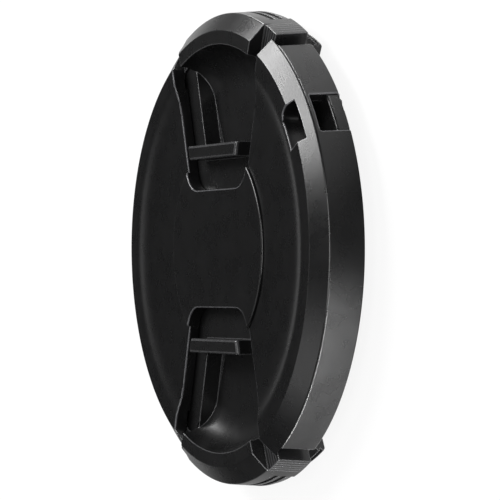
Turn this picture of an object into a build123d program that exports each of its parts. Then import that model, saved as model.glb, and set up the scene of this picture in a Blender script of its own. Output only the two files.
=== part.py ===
from build123d import *
import math
import os

# Centre-pinch lens cap. Millimetres. The origin is the centre of the seat, the plane of the rim's rear face
# that meets the lens; +Z points out of the front, +Y to the upper slider and +X to the side with the eyelet.

# Rim and front face
thread_diameter = 67.0      # filter thread that the clips hold in
rim_overhang = 1.8          # rim beyond the thread's radius, at the seat
rim_draft = 5.3             # the rim narrows towards the front, degrees
wall_height = 5.4           # seat to the bevel's outer edge
cap_depth = 7.3             # seat to the front edge
bevel_width = 2.7           # bevel, measured along the radius
lip_width = 1.8             # flat lip inside the bevel
face_drop = 0.65            # the dished face sinks this far below the lip
face_radius = 24.0          # flat middle of the dish; an ogee leads from it up to the lip
ogee_radius = 28.3          # where the ogee is steepest, nearly
face_thickness = 1.6        # front wall under the dish's floor
disc_radius = 16.1          # raised blank disc in the middle
disc_rise = 0.4
rim_edge_chamfer = 0.2      # broken edges on both sides of the bevel
disc_chamfer = 0.12

# Back plate and its seat in the rim
rim_wall = 3.4              # rim's thickness above the ledge, measured at the seat's radius
ledge_width = 1.0           # ledge that the back plate rests on
back_thickness = 0.8
back_recess = 0.3           # back plate sunk below the seat
back_fit = 0.1              # clearance round the back plate and its hooks
hook_inset = 3.3            # snap hook's outer face to the ledge's inner edge
hook_thickness = 1.2
hook_width = 3.0
hook_spacing = 12.0         # between the two hooks of a side, middle to middle
hook_catch = 0.5            # barb over the back plate

# Channels in the face
channel_inner = 9.0         # centre to a channel's inner end
channel_inner_half = 9.8    # half width there, before the corners are rounded
channel_corner = 3.9
bevel_notch_angle = 28.4    # half angle of the notch in the bevel, degrees
wall_notch_angle = 32.4     # half angle of the wider notch in the rim's wall, degrees

# Sliders
travel = 2.3                # each slider moves this far inwards
slide_clearance = 0.2       # above and below a slider
plate_thickness = 1.4
plate_inner = 6.0           # centre to the plate's inner end
plate_overlap = 1.0         # plate reaches this far under the channel's edge
wing_half = 18.0            # half width of the plate's guided wings
rail_width = 3.65           # plate left beside the scoop, inside the channel
scoop_floor_thickness = 0.9
scoop_wall = 1.0
cove_angle = 84.0           # how steep the scoop's cove ends at the grip's land, degrees
tab_inner = 13.7            # centre to the push tab's inner face
tab_thickness = 2.2
tab_side_gap = 2.95         # tab's end to the channel's side
tab_proud = 0.4             # tab above the cap's front edge
tab_chamfer = 0.3

# Outer grips and threaded clips
grip_proud = 0.9            # grip stands out from the rim
land_width = 2.1            # flat land on the grip's front
grip_front_angle = 23.0     # half angle of the bevelled front part, degrees
grip_wing_angle = 29.4      # half angle of the wider part in the rim's wall, degrees
wing_setback = 0.8          # wings' inner edge, outside the land's
grip_wall = 1.3
grip_recess_depth = 0.25
grip_recess_angle = 19.5    # half angle of the ridged recess, degrees
grip_ridge_width = 0.5
grip_groove_width = 0.8
grip_ridges = 2
clip_preload = 0.75         # clip's teeth beyond the thread's radius when the slider is out
clip_reach = 3.1            # clip behind the seat
clip_wall = 1.3
clip_angle = 28.5           # half angle of a clip, degrees
tooth_pitch = 0.75
tooth_depth = 0.45
teeth = 2
clip_neck = 0.35            # neck in front of the teeth, below the teeth's roots

# Guides, springs and their posts
guide_clearance = 0.15
guide_thickness = 1.2
guide_drop = 0.3            # guides reach this far below the sliders' plates
stop_engagement = 1.8
stop_thickness = 1.5
stop_setback = 3.4          # stop face to the rim's inside, along the guide
spring_inset = 4.0          # spring's axis inside the wing's edge
spring_diameter = 3.0
spring_wire = 0.4
spring_turns = 6
spring_steps = 8            # straight runs in a turn
spring_wire_sides = 5
spring_seat_gap = 0.05
spring_seat = 12.5          # centre to a slider's spring lug
post_width = 4.0            # spring post and lug, across the spring
post_thickness = 2.4
lug_thickness = 1.5
peg_width = 1.4             # square pegs that the springs sit on
peg_length = 1.5
slot_clearance = 0.3        # beside a spring in the plate's slot
support_width = 1.4         # rib on the back plate under a slider's wing
support_gap = 0.3           # rib to the spring lugs
support_setback = 1.0       # rib's end to the stops

# Lanyard eyelet
eyelet_angle = 56.7         # middle of the eyelet, from +Y towards +X, degrees
window_half_angle = 5.3
window_bottom = 1.95
window_height = 2.75
slot_half_angle = 5.8
slot_inner_setback = 2.25   # front slot inside the front edge, measured along the radius
slot_outer_setback = 1.2    # front slot outside the front edge, into the bevel
slot_corner = 1.4           # rounded corner of the front slot, beside the lip
eyelet_wall = 1.1
bar_recess = 0.3
bar_chamfer = 0.25

# Levels and radii that follow from the sizes above
thread_radius = thread_diameter / 2
rim_radius = thread_radius + rim_overhang
rim_taper = math.tan(math.radians(rim_draft))
bevel_radius = rim_radius - wall_height * rim_taper
front_radius = bevel_radius - bevel_width
dish_floor = cap_depth - face_drop
disc_top = dish_floor + disc_rise
face_under = dish_floor - face_thickness
ledge_radius = rim_radius - rim_wall
back_radius = ledge_radius + ledge_width
back_top = back_recess + back_thickness
plate_top = face_under - slide_clearance
plate_bottom = plate_top - plate_thickness
floor_bottom = back_top + slide_clearance
scoop_floor = floor_bottom + scoop_floor_thickness
tab_outer = tab_inner + tab_thickness
tab_top = cap_depth + tab_proud
land_outer = front_radius + grip_proud
land_inner = land_outer - land_width
cove_radius = (cap_depth - scoop_floor) / (1 - math.cos(math.radians(cove_angle)))
cove_centre = land_inner - cove_radius * math.sin(math.radians(cove_angle))
cove_level = scoop_floor + cove_radius
wing_top = wall_height - slide_clearance
slab_bottom = wing_top - grip_wall
clip_radius = thread_radius + clip_preload
neck_radius = clip_radius - tooth_depth - clip_neck
clip_inner = neck_radius - clip_wall
guide_inner = wing_half + guide_clearance
guide_outer = guide_inner + guide_thickness
spring_side = wing_half - spring_inset
stop_face = math.sqrt(ledge_radius**2 - guide_outer**2) - stop_setback
spring_level = (face_under + back_top) / 2
spring_length = spring_seat - post_thickness / 2 - 2 * spring_seat_gap
wing_inner = land_inner + wing_setback
notch_inner = wing_inner - travel - 2 * slide_clearance
far = 2 * rim_radius


def channel_half(y):
    """Half width of a channel at the distance y from the centre: straight sides up to the bevel's notch."""
    corner_x = front_radius * math.sin(math.radians(bevel_notch_angle))
    corner_y = front_radius * math.cos(math.radians(bevel_notch_angle))
    slope = (corner_x - channel_inner_half) / (corner_y - channel_inner)
    return channel_inner_half + slope * (y - channel_inner)


def rim_at(height, proud=0.0):
    """Outer radius of the tapering rim, or of a grip that stands proud of it, at a height above the seat."""
    return rim_radius + proud - height * rim_taper


def prism(corners, bottom, top):
    """Upright solid over a closed outline of (x, y) corners."""
    outline = make_face(Polyline(*corners, close=True))
    return extrude(Pos(0, 0, bottom) * outline, top - bottom, dir=(0, 0, 1))


def tapered(y_from, y_to, inset, bottom, top):
    """Prism between two distances from the centre whose sides run along the channel's, set in by inset."""
    near = channel_half(y_from) - inset
    wide = channel_half(y_to) - inset
    return prism([(-near, y_from), (near, y_from), (wide, y_to), (-wide, y_to)], bottom, top)


def block(x, y, bottom, top):
    """Box from pairs of limits along X and Y."""
    return prism([(x[0], y[0]), (x[1], y[0]), (x[1], y[1]), (x[0], y[1])], bottom, top)


def section(radius, height):
    """Point of a turned profile."""
    return (radius, 0, height)


def turned(corners):
    """Solid turned about the cap's axis from a closed outline of (radius, height) corners."""
    outline = make_face(Polyline(*[section(r, z) for r, z in corners], close=True))
    return revolve(outline, Axis.Z)


def wedge(half_angle, bottom=-far, top=far, middle=0.0):
    """Upright wedge with its edge on the axis, opening half_angle each side of middle (degrees from +Y)."""
    corners = [(0, 0)]
    for angle in (middle - half_angle, middle + half_angle):
        turn = math.radians(angle)
        corners.append((far * math.sin(turn), far * math.cos(turn)))
    return prism(corners, bottom, top)


def peg(x, y_from, y_to):
    """Square peg along Y at the springs' level."""
    half = peg_width / 2
    return block((x - half, x + half), (y_from, y_to), spring_level - half, spring_level + half)


def both_ways(solid):
    """A solid and its copy turned half round the axis."""
    return [solid, Rot(0, 0, 180) * solid]


def shell_body():
    """Rim, bevel, dished face and raised disc as one turned solid, open behind."""
    lip_inner = front_radius - lip_width
    edge = [
        Line(section(0, face_under), section(ledge_radius, face_under)),
        Line(section(ledge_radius, face_under), section(ledge_radius, back_top)),
        Line(section(ledge_radius, back_top), section(back_radius + back_fit, back_top)),
        Line(section(back_radius + back_fit, back_top), section(back_radius + back_fit, 0)),
        Line(section(back_radius + back_fit, 0), section(rim_radius, 0)),
        Line(section(rim_radius, 0), section(bevel_radius, wall_height)),
        Line(section(bevel_radius, wall_height), section(front_radius, cap_depth)),
        Line(section(front_radius, cap_depth), section(lip_inner, cap_depth)),
        Bezier(
            section(lip_inner, cap_depth),
            section(ogee_radius, cap_depth),
            section(ogee_radius, dish_floor),
            section(face_radius, dish_floor),
        ),
        Line(section(face_radius, dish_floor), section(disc_radius, dish_floor)),
        Line(section(disc_radius, dish_floor), section(disc_radius, disc_top)),
        Line(section(disc_radius, disc_top), section(0, disc_top)),
        Line(section(0, disc_top), section(0, face_under)),
    ]
    profile = make_face(edge)
    broken_edges = [
        (bevel_radius, wall_height, rim_edge_chamfer),
        (front_radius, cap_depth, rim_edge_chamfer),
        (disc_radius, disc_top, disc_chamfer),
    ]
    for radius, height, length in broken_edges:
        corner = profile.vertices().sort_by_distance(section(radius, height))[0]
        profile = chamfer(corner, length)
    return revolve(profile, Axis.Z)


def channel_cut():
    """The upper channel: a tapered opening through the face that runs out through the bevel."""
    turn = math.radians(bevel_notch_angle)
    corner = (front_radius * math.sin(turn), front_radius * math.cos(turn))
    outside = (far * math.sin(turn), far * math.cos(turn))
    right = [(channel_inner_half, channel_inner), corner, outside]
    left = [(-x, y) for x, y in reversed(right)]
    outline = make_face(Polyline(*right, *left, close=True))
    inner_ends = outline.vertices().sort_by(Axis.Y)[:2]
    outline = fillet(inner_ends, channel_corner)
    through_face = extrude(Pos(0, 0, plate_top) * outline, far, dir=(0, 0, 1))
    through_face &= turned([(0, 0), (ledge_radius, 0), (ledge_radius, far), (0, far)])
    through_bevel = extrude(Pos(0, 0, wall_height) * outline, far, dir=(0, 0, 1))
    return through_face + through_bevel


def wall_notch():
    """Wider notch behind the bevel, for the grip's wings and clip, with room for their travel."""
    ring = turned(
        [
            (notch_inner, -far),
            (far, -far),
            (far, wall_height),
            (notch_inner, wall_height),
        ]
    )
    return ring & wedge(wall_notch_angle)


def guides():
    """Two guide ribs for the wings, hooked inwards at their ends to stop the sliders."""
    bottom = plate_bottom - guide_drop
    stop_end = stop_face + stop_thickness
    hook_inner = wing_half - stop_engagement
    ribs = []
    for side in (-1, 1):
        across = (side * guide_inner, side * guide_outer)
        ribs.append(block(across, (-stop_end, stop_end), bottom, face_under))
        for end in (-1, 1):
            hook = block(
                (side * hook_inner, side * guide_outer),
                (end * stop_face, end * stop_end),
                bottom,
                face_under,
            )
            ribs.append(hook)
    return ribs


def spring_posts():
    """Fixed posts between the sliders, with a peg for a spring on each face."""
    parts = []
    for side in (-1, 1):
        x = side * spring_side
        half = post_thickness / 2
        parts.append(block((x - post_width / 2, x + post_width / 2), (-half, half), back_top, face_under))
        reach = half + peg_length
        parts.append(peg(x, -reach, reach))
    return parts


def hook_places():
    """Sides, as signs along X, and distances along Y of the hooks that hold the back plate."""
    for side in (-1, 1):
        for y in (-hook_spacing / 2, hook_spacing / 2):
            yield side, y


def snap_hooks():
    """Hooks through the back plate, each with a barb behind it that slopes so that the plate pushes on."""
    outer = ledge_radius - hook_inset
    inner = outer - hook_thickness
    corners = [
        (inner, face_under),
        (inner, 0),
        (outer, 0),
        (outer + hook_catch, back_recess),
        (outer, back_recess),
        (outer, face_under),
    ]
    hooks = []
    for side, y in hook_places():
        outline = [(side * x, y - hook_width / 2, z) for x, z in corners]
        hooks.append(extrude(make_face(Polyline(*outline, close=True)), hook_width, dir=(0, 1, 0)))
    return hooks


def eyelet_box():
    """Solid corner inside the rim that the eyelet's passage is sunk into."""
    inner = front_radius - slot_inner_setback - eyelet_wall
    corners = [
        (inner, back_top),
        (ledge_radius, back_top),
        (ledge_radius, face_under),
        (inner, face_under),
    ]
    wall_angle = math.degrees(eyelet_wall / inner)
    return turned(corners) & wedge(slot_half_angle + wall_angle, middle=eyelet_angle)


def eyelet_cuts():
    """Front slot, side window and the shallow recess over the bar behind the window."""
    inner = front_radius - slot_inner_setback
    outer = front_radius + slot_outer_setback
    window_top = window_bottom + window_height
    slot = turned([(inner, window_bottom), (outer, window_bottom), (outer, far), (inner, far)])
    slot &= wedge(slot_half_angle, middle=eyelet_angle)
    corner_turn = math.radians(eyelet_angle - slot_half_angle)
    corner = (inner * math.sin(corner_turn), inner * math.cos(corner_turn), cap_depth)
    slot = fillet(slot.edges().filter_by(Axis.Z).sort_by_distance(corner)[0], slot_corner)
    window = turned([(inner, window_bottom), (far, window_bottom), (far, window_top), (inner, window_top)])
    bar_top = rim_at(window_bottom) - bar_recess
    bar = turned(
        [
            (rim_at(0) - bar_recess, -far),
            (rim_at(0) - bar_recess, 0),
            (bar_top, window_bottom - bar_chamfer),
            (bar_top - bar_chamfer, window_bottom),
            (far, window_bottom),
            (far, -far),
        ]
    )
    return [slot, (window + bar) & wedge(window_half_angle, middle=eyelet_angle)]


def front_shell():
    """Front shell: the turned body with its channels, notches, eyelet and inner guides."""
    shell = shell_body()
    shell += [*guides(), *spring_posts(), *snap_hooks(), eyelet_box()]
    shell -= both_ways(channel_cut())
    shell -= both_ways(wall_notch())
    shell -= eyelet_cuts()
    return shell


def slider_plate():
    """Sliding plate: guided wings, a tapering tail under the channel's edges and slots for the springs."""
    tail = channel_half(stop_face) + plate_overlap
    tail_end = channel_half(far) + plate_overlap
    right = [(wing_half, plate_inner), (wing_half, stop_face), (tail, stop_face), (tail_end, far)]
    left = [(-x, y) for x, y in reversed(right)]
    plate = prism([*right, *left], plate_bottom, plate_top)
    plate &= turned([(0, -far), (neck_radius, -far), (neck_radius, far), (0, far)])
    slot_half = spring_diameter / 2 + slot_clearance
    for x in (-spring_side, spring_side):
        plate -= block((x - slot_half, x + slot_half), (0, spring_seat), -far, far)
    return plate


def spring_lugs():
    """Lugs under the plate that the springs push on, each with a peg."""
    parts = []
    for x in (-spring_side, spring_side):
        half = post_width / 2
        lug_end = spring_seat + lug_thickness
        parts.append(block((x - half, x + half), (spring_seat, lug_end), floor_bottom, plate_top))
        parts.append(peg(x, spring_seat - peg_length, lug_end))
    return parts


def cove():
    """Solid above the scoop's floor: flat in the middle, then curving up to the grip's land."""
    turn = math.radians(cove_angle)
    handle = cove_radius * math.tan(turn / 4) * 4 / 3
    edge = [
        Line(section(0, cap_depth), section(0, scoop_floor)),
        Line(section(0, scoop_floor), section(cove_centre, scoop_floor)),
        Bezier(
            section(cove_centre, scoop_floor),
            section(cove_centre + handle, scoop_floor),
            section(land_inner - handle * math.cos(turn), cap_depth - handle * math.sin(turn)),
            section(land_inner, cap_depth),
        ),
        Line(section(land_inner, cap_depth), section(0, cap_depth)),
    ]
    return revolve(make_face(edge), Axis.Z)


def scoop_tub():
    """Outside of the scoop's tub, under the plate: straight sides and an end that slopes along the cove."""
    half_way = math.radians(cove_angle / 2)
    outer = cove_radius + scoop_floor_thickness
    foot = cove_centre + outer * math.tan(half_way / 2)
    head = cove_centre + (outer - (cove_level - plate_top) * math.cos(half_way)) / math.sin(half_way)
    slope = [(0, floor_bottom), (foot, floor_bottom), (head, plate_top), (0, plate_top)]
    return tapered(tab_inner, far / 2, rail_width - scoop_wall, floor_bottom, plate_top) & turned(slope)


def scoop_cut():
    """Space of the scoop, from the tab to the grip's land, and as wide as the grip above the rails."""
    inside = tapered(tab_outer, far / 2, rail_width, scoop_floor, far)
    inside += block((-far, far), (tab_outer, far), plate_top, far)
    mouth = turned([(0, cap_depth), (land_inner, cap_depth), (land_inner, far), (0, far)])
    return inside & (cove() + mouth)


def push_tab():
    """Bar across the inner end of the scoop that a fingertip pushes."""
    tab = tapered(tab_inner, tab_outer, tab_side_gap, floor_bottom, tab_top)
    top_edges = tab.edges().group_by(Axis.Z)[-1]
    return chamfer(top_edges, tab_chamfer)


def grip_front():
    """Bevelled front part of the outer grip, with its flat land."""
    root = cove_centre + cove_radius * math.sin(math.radians(cove_angle / 2))
    corners = [
        (root, slab_bottom),
        (root, cap_depth),
        (land_outer, cap_depth),
        (rim_at(wall_height, grip_proud), wall_height),
        (rim_at(slab_bottom, grip_proud), slab_bottom),
    ]
    return turned(corners) & wedge(grip_front_angle)


def grip_wings():
    """Wider part of the outer grip, in the notch of the rim's wall: a slab with a skirt."""
    skirt_inner = rim_at(0, grip_proud) - grip_wall
    corners = [
        (wing_inner, slab_bottom),
        (wing_inner, wing_top),
        (rim_at(wing_top, grip_proud), wing_top),
        (rim_at(0, grip_proud), 0),
        (skirt_inner, 0),
        (rim_at(slab_bottom, grip_proud) - grip_wall, slab_bottom),
    ]
    return turned(corners) & wedge(grip_wing_angle)


def wing_ends():
    """Walls that close the wings at their ends, from the clip's inside to the skirt."""
    corners = [
        (clip_inner, 0),
        (clip_inner, wing_top),
        (rim_at(wing_top, grip_proud), wing_top),
        (rim_at(0, grip_proud), 0),
    ]
    end_wall = math.degrees(grip_wall / rim_radius)
    return turned(corners) & (wedge(grip_wing_angle) - wedge(grip_wing_angle - end_wall))


def grip_core():
    """Hollow behind the grip's land and bevel, open to the rear, as deep as the walls allow."""
    run = bevel_width / (cap_depth - wall_height)
    bevel_wall = grip_wall * math.sqrt(1 + run**2)
    skirt_inner = rim_at(slab_bottom, grip_proud) - grip_wall
    top = cap_depth - (neck_radius - land_outer + bevel_wall) / run
    shoulder = top - (skirt_inner - neck_radius) / run
    corners = [
        (neck_radius, 0),
        (neck_radius, top),
        (skirt_inner, shoulder),
        (skirt_inner, 0),
    ]
    end_wall = math.degrees(grip_wall / land_outer)
    return turned(corners) & wedge(grip_front_angle - end_wall)


def grip_grooves():
    """Grooves of the grip's recess, with the ridges left between them."""
    pitch = grip_ridge_width + grip_groove_width
    grooves = []
    for number in range(grip_ridges + 1):
        bottom = number * pitch
        top = bottom + grip_groove_width
        corners = [
            (rim_at(bottom, grip_proud) - grip_recess_depth, bottom),
            (far, bottom),
            (far, top),
            (rim_at(top, grip_proud) - grip_recess_depth, top),
        ]
        grooves.append(turned(corners) & wedge(grip_recess_angle))
    return grooves


def clip_arc():
    """Neck and toothed arc that catch in the filter thread behind the seat."""
    root = clip_radius - tooth_depth
    corners = [(clip_inner, slab_bottom), (clip_inner, -clip_reach)]
    for number in range(teeth):
        foot = -clip_reach + number * tooth_pitch
        corners.append((root, foot))
        corners.append((clip_radius, foot + tooth_pitch / 2))
    corners.append((root, -clip_reach + teeth * tooth_pitch))
    corners.append((neck_radius, -clip_reach + teeth * tooth_pitch + clip_neck))
    corners.append((neck_radius, slab_bottom))
    return turned(corners) & wedge(clip_angle)


def slider():
    """One pinch slider, in the upper place."""
    body = slider_plate() + [*spring_lugs(), scoop_tub(), push_tab(), grip_front(), grip_wings()]
    body -= scoop_cut()
    body -= grip_core()
    body -= grip_grooves()
    return body + [clip_arc(), wing_ends()]


def back_plate():
    """Retaining plate: cut away round the clips' travel, slotted for the hooks, ribbed under the wings."""
    plate = Pos(0, 0, back_recess + back_thickness / 2) * Cylinder(back_radius, back_thickness)
    edge_radius = clip_inner - 2 * slide_clearance
    bite = wedge(wall_notch_angle) - Pos(0, -travel, 0) * Cylinder(edge_radius, 2 * far)
    plate -= both_ways(bite)
    slot_outer = ledge_radius - hook_inset + back_fit
    slot_inner = slot_outer - hook_thickness - hook_catch - 2 * back_fit
    slot_half = hook_width / 2 + back_fit
    for side, y in hook_places():
        plate -= block((side * slot_inner, side * slot_outer), (y - slot_half, y + slot_half), -far, far)
    rib_inner = spring_side + post_width / 2 + support_gap
    rib_end = stop_face - support_setback
    for side in (-1, 1):
        limits = (side * rib_inner, side * (rib_inner + support_width))
        plate += block(limits, (-rib_end, rib_end), back_top, plate_bottom - slide_clearance)
    return plate


def spring():
    """Compression spring, wound along Z from the origin, of short straight runs."""
    coil_radius = (spring_diameter - spring_wire) / 2
    lead = (spring_length - spring_wire) / spring_turns
    climb = lead / (2 * math.pi * coil_radius)
    sections = []
    for step in range(spring_turns * spring_steps + 1):
        turn = 2 * math.pi * step / spring_steps
        outward = Vector(math.cos(turn), math.sin(turn), 0)
        along = Vector(-math.sin(turn), math.cos(turn), climb)
        height = spring_wire / 2 + lead * step / spring_steps
        place = Plane(outward * coil_radius + Vector(0, 0, height), x_dir=outward, z_dir=along)
        sections.append(place * RegularPolygon(spring_wire / 2, spring_wire_sides))
    return loft(sections, ruled=True)


def placed_spring(side, end):
    """Spring between a fixed post and a slider's lug; side is its sign along X, end its sign along Y."""
    start = post_thickness / 2 + spring_seat_gap
    turn = Rot(-90, 0, 0) if end > 0 else Rot(90, 0, 0)
    return Pos(side * spring_side, end * start, spring_level) * turn * spring()


upper = slider()
pieces = {
    "front_shell": front_shell(),
    "back_plate": back_plate(),
    "upper_slider": upper,
    "lower_slider": Rot(0, 0, 180) * upper,
    "upper_left_spring": placed_spring(-1, 1),
    "upper_right_spring": placed_spring(1, 1),
    "lower_left_spring": placed_spring(-1, -1),
    "lower_right_spring": placed_spring(1, -1),
}

os.makedirs("parts", exist_ok=True)
for name, piece in pieces.items():
    export_step(piece, f"parts/{name}.step")
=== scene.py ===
import logging
import math
from collections.abc import Callable, Iterator, Sequence
from contextlib import contextmanager
from dataclasses import dataclass
from enum import Enum

import bmesh
import bpy
from mathutils import Matrix, Vector


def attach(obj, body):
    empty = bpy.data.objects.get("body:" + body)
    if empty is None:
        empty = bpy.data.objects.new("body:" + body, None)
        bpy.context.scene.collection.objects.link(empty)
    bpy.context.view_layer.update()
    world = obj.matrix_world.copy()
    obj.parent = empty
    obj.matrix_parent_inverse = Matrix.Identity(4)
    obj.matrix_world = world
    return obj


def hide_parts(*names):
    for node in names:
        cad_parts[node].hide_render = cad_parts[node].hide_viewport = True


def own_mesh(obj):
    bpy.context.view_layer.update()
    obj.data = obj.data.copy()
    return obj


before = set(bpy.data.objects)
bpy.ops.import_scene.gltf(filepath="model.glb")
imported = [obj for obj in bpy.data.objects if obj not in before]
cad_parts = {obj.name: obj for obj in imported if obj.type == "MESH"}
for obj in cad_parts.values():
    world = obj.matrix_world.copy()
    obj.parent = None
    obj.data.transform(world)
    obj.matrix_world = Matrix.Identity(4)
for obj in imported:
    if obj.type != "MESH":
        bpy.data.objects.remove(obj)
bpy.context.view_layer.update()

log = logging.getLogger("lens_cap")

Object = bpy.types.Object
Socket = bpy.types.NodeSocket
Tree = bpy.types.NodeTree
Point = tuple[float, float]
Corner = tuple[float, float, float]
Colour = tuple[float, float, float]
Direction = tuple[float, float, float]

METRES = 0.001              # pieces are modelled in millimetres, then brought to metres
AROUND = 300                # steps of a full turn
FAR = 80.0                  # beyond every face of the cap
MARGIN = 1.0                # how far a cutter runs past the face that it opens
SPAN = 60.0                 # half the sweep, in degrees, of a turned tool wider than a slider
OVERLAP = 0.2               # how far joined solids run into one another
WELD = 0.0005               # points of a turned solid closer than this are one
SHARP = math.radians(33)    # edges steeper than this are broken
FLAT_FIRST = 90             # how firmly large flat faces hold the shading
WORN_AND_HIGHLIT = "worn_highlit_edge"          # attribute that marks the faces of broken edges, paled as a painted highlight and made less rough by handling
MIDDLING = (0.3, 0.7)       # range that holds most of a noise
GRAINED_FROM = 0.031        # metres from the axis beyond which rim and grips have their full grain


class Mix(Enum):
    """Ways to combine two solids."""

    JOIN = "UNION"
    CUT = "DIFFERENCE"
    KEEP = "INTERSECT"


def polar(radius: float, angle: float) -> Point:
    """Point at a radius, turned from +Y towards +X by an angle in degrees."""
    turn = math.radians(angle)
    return radius * math.sin(turn), radius * math.cos(turn)


def arc(radius: float, start: float, end: float, steps: int) -> list[Point]:
    """Points along an arc about the cap's axis, between two angles in degrees from +Y."""
    return [polar(radius, start + (end - start) * step / steps) for step in range(steps + 1)]


def curve(knots: Sequence[Point], steps: int) -> list[Point]:
    """Points along a cubic curve.

    Args:
        knots: its four control points.
        steps: straight runs along it.

    Returns:
        The points, with both ends.
    """
    points = []
    for step in range(steps + 1):
        t = step / steps
        weights = ((1 - t) ** 3, 3 * t * (1 - t) ** 2, 3 * t * t * (1 - t), t**3)
        points.append(tuple(sum(w * knot[axis] for w, knot in zip(weights, knots)) for axis in (0, 1)))
    return points


def rounded(corners: Sequence[Corner], steps: int = 4) -> list[Point]:
    """Closed outline whose corners are rounded.

    Args:
        corners: x, y and radius of each corner, in order; a radius of 0 leaves it sharp.
        steps: straight runs in a rounding.

    Returns:
        The outline's points.
    """
    outline: list[Point] = []
    for index, (x, y, radius) in enumerate(corners):
        here = Vector((x, y))
        if radius == 0:
            outline.append((x, y))
            continue
        before = (Vector(corners[index - 1][:2]) - here).normalized()
        after = (Vector(corners[(index + 1) % len(corners)][:2]) - here).normalized()
        half = before.angle(after) / 2
        centre = here + (before + after).normalized() * (radius / math.sin(half))
        first = here + before * (radius / math.tan(half)) - centre
        last = here + after * (radius / math.tan(half)) - centre
        start = math.atan2(first.y, first.x)
        sweep = math.remainder(math.atan2(last.y, last.x) - start, math.tau)
        for step in range(steps + 1):
            angle = start + sweep * step / steps
            outline.append((centre.x + radius * math.cos(angle), centre.y + radius * math.sin(angle)))
    return outline


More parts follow.
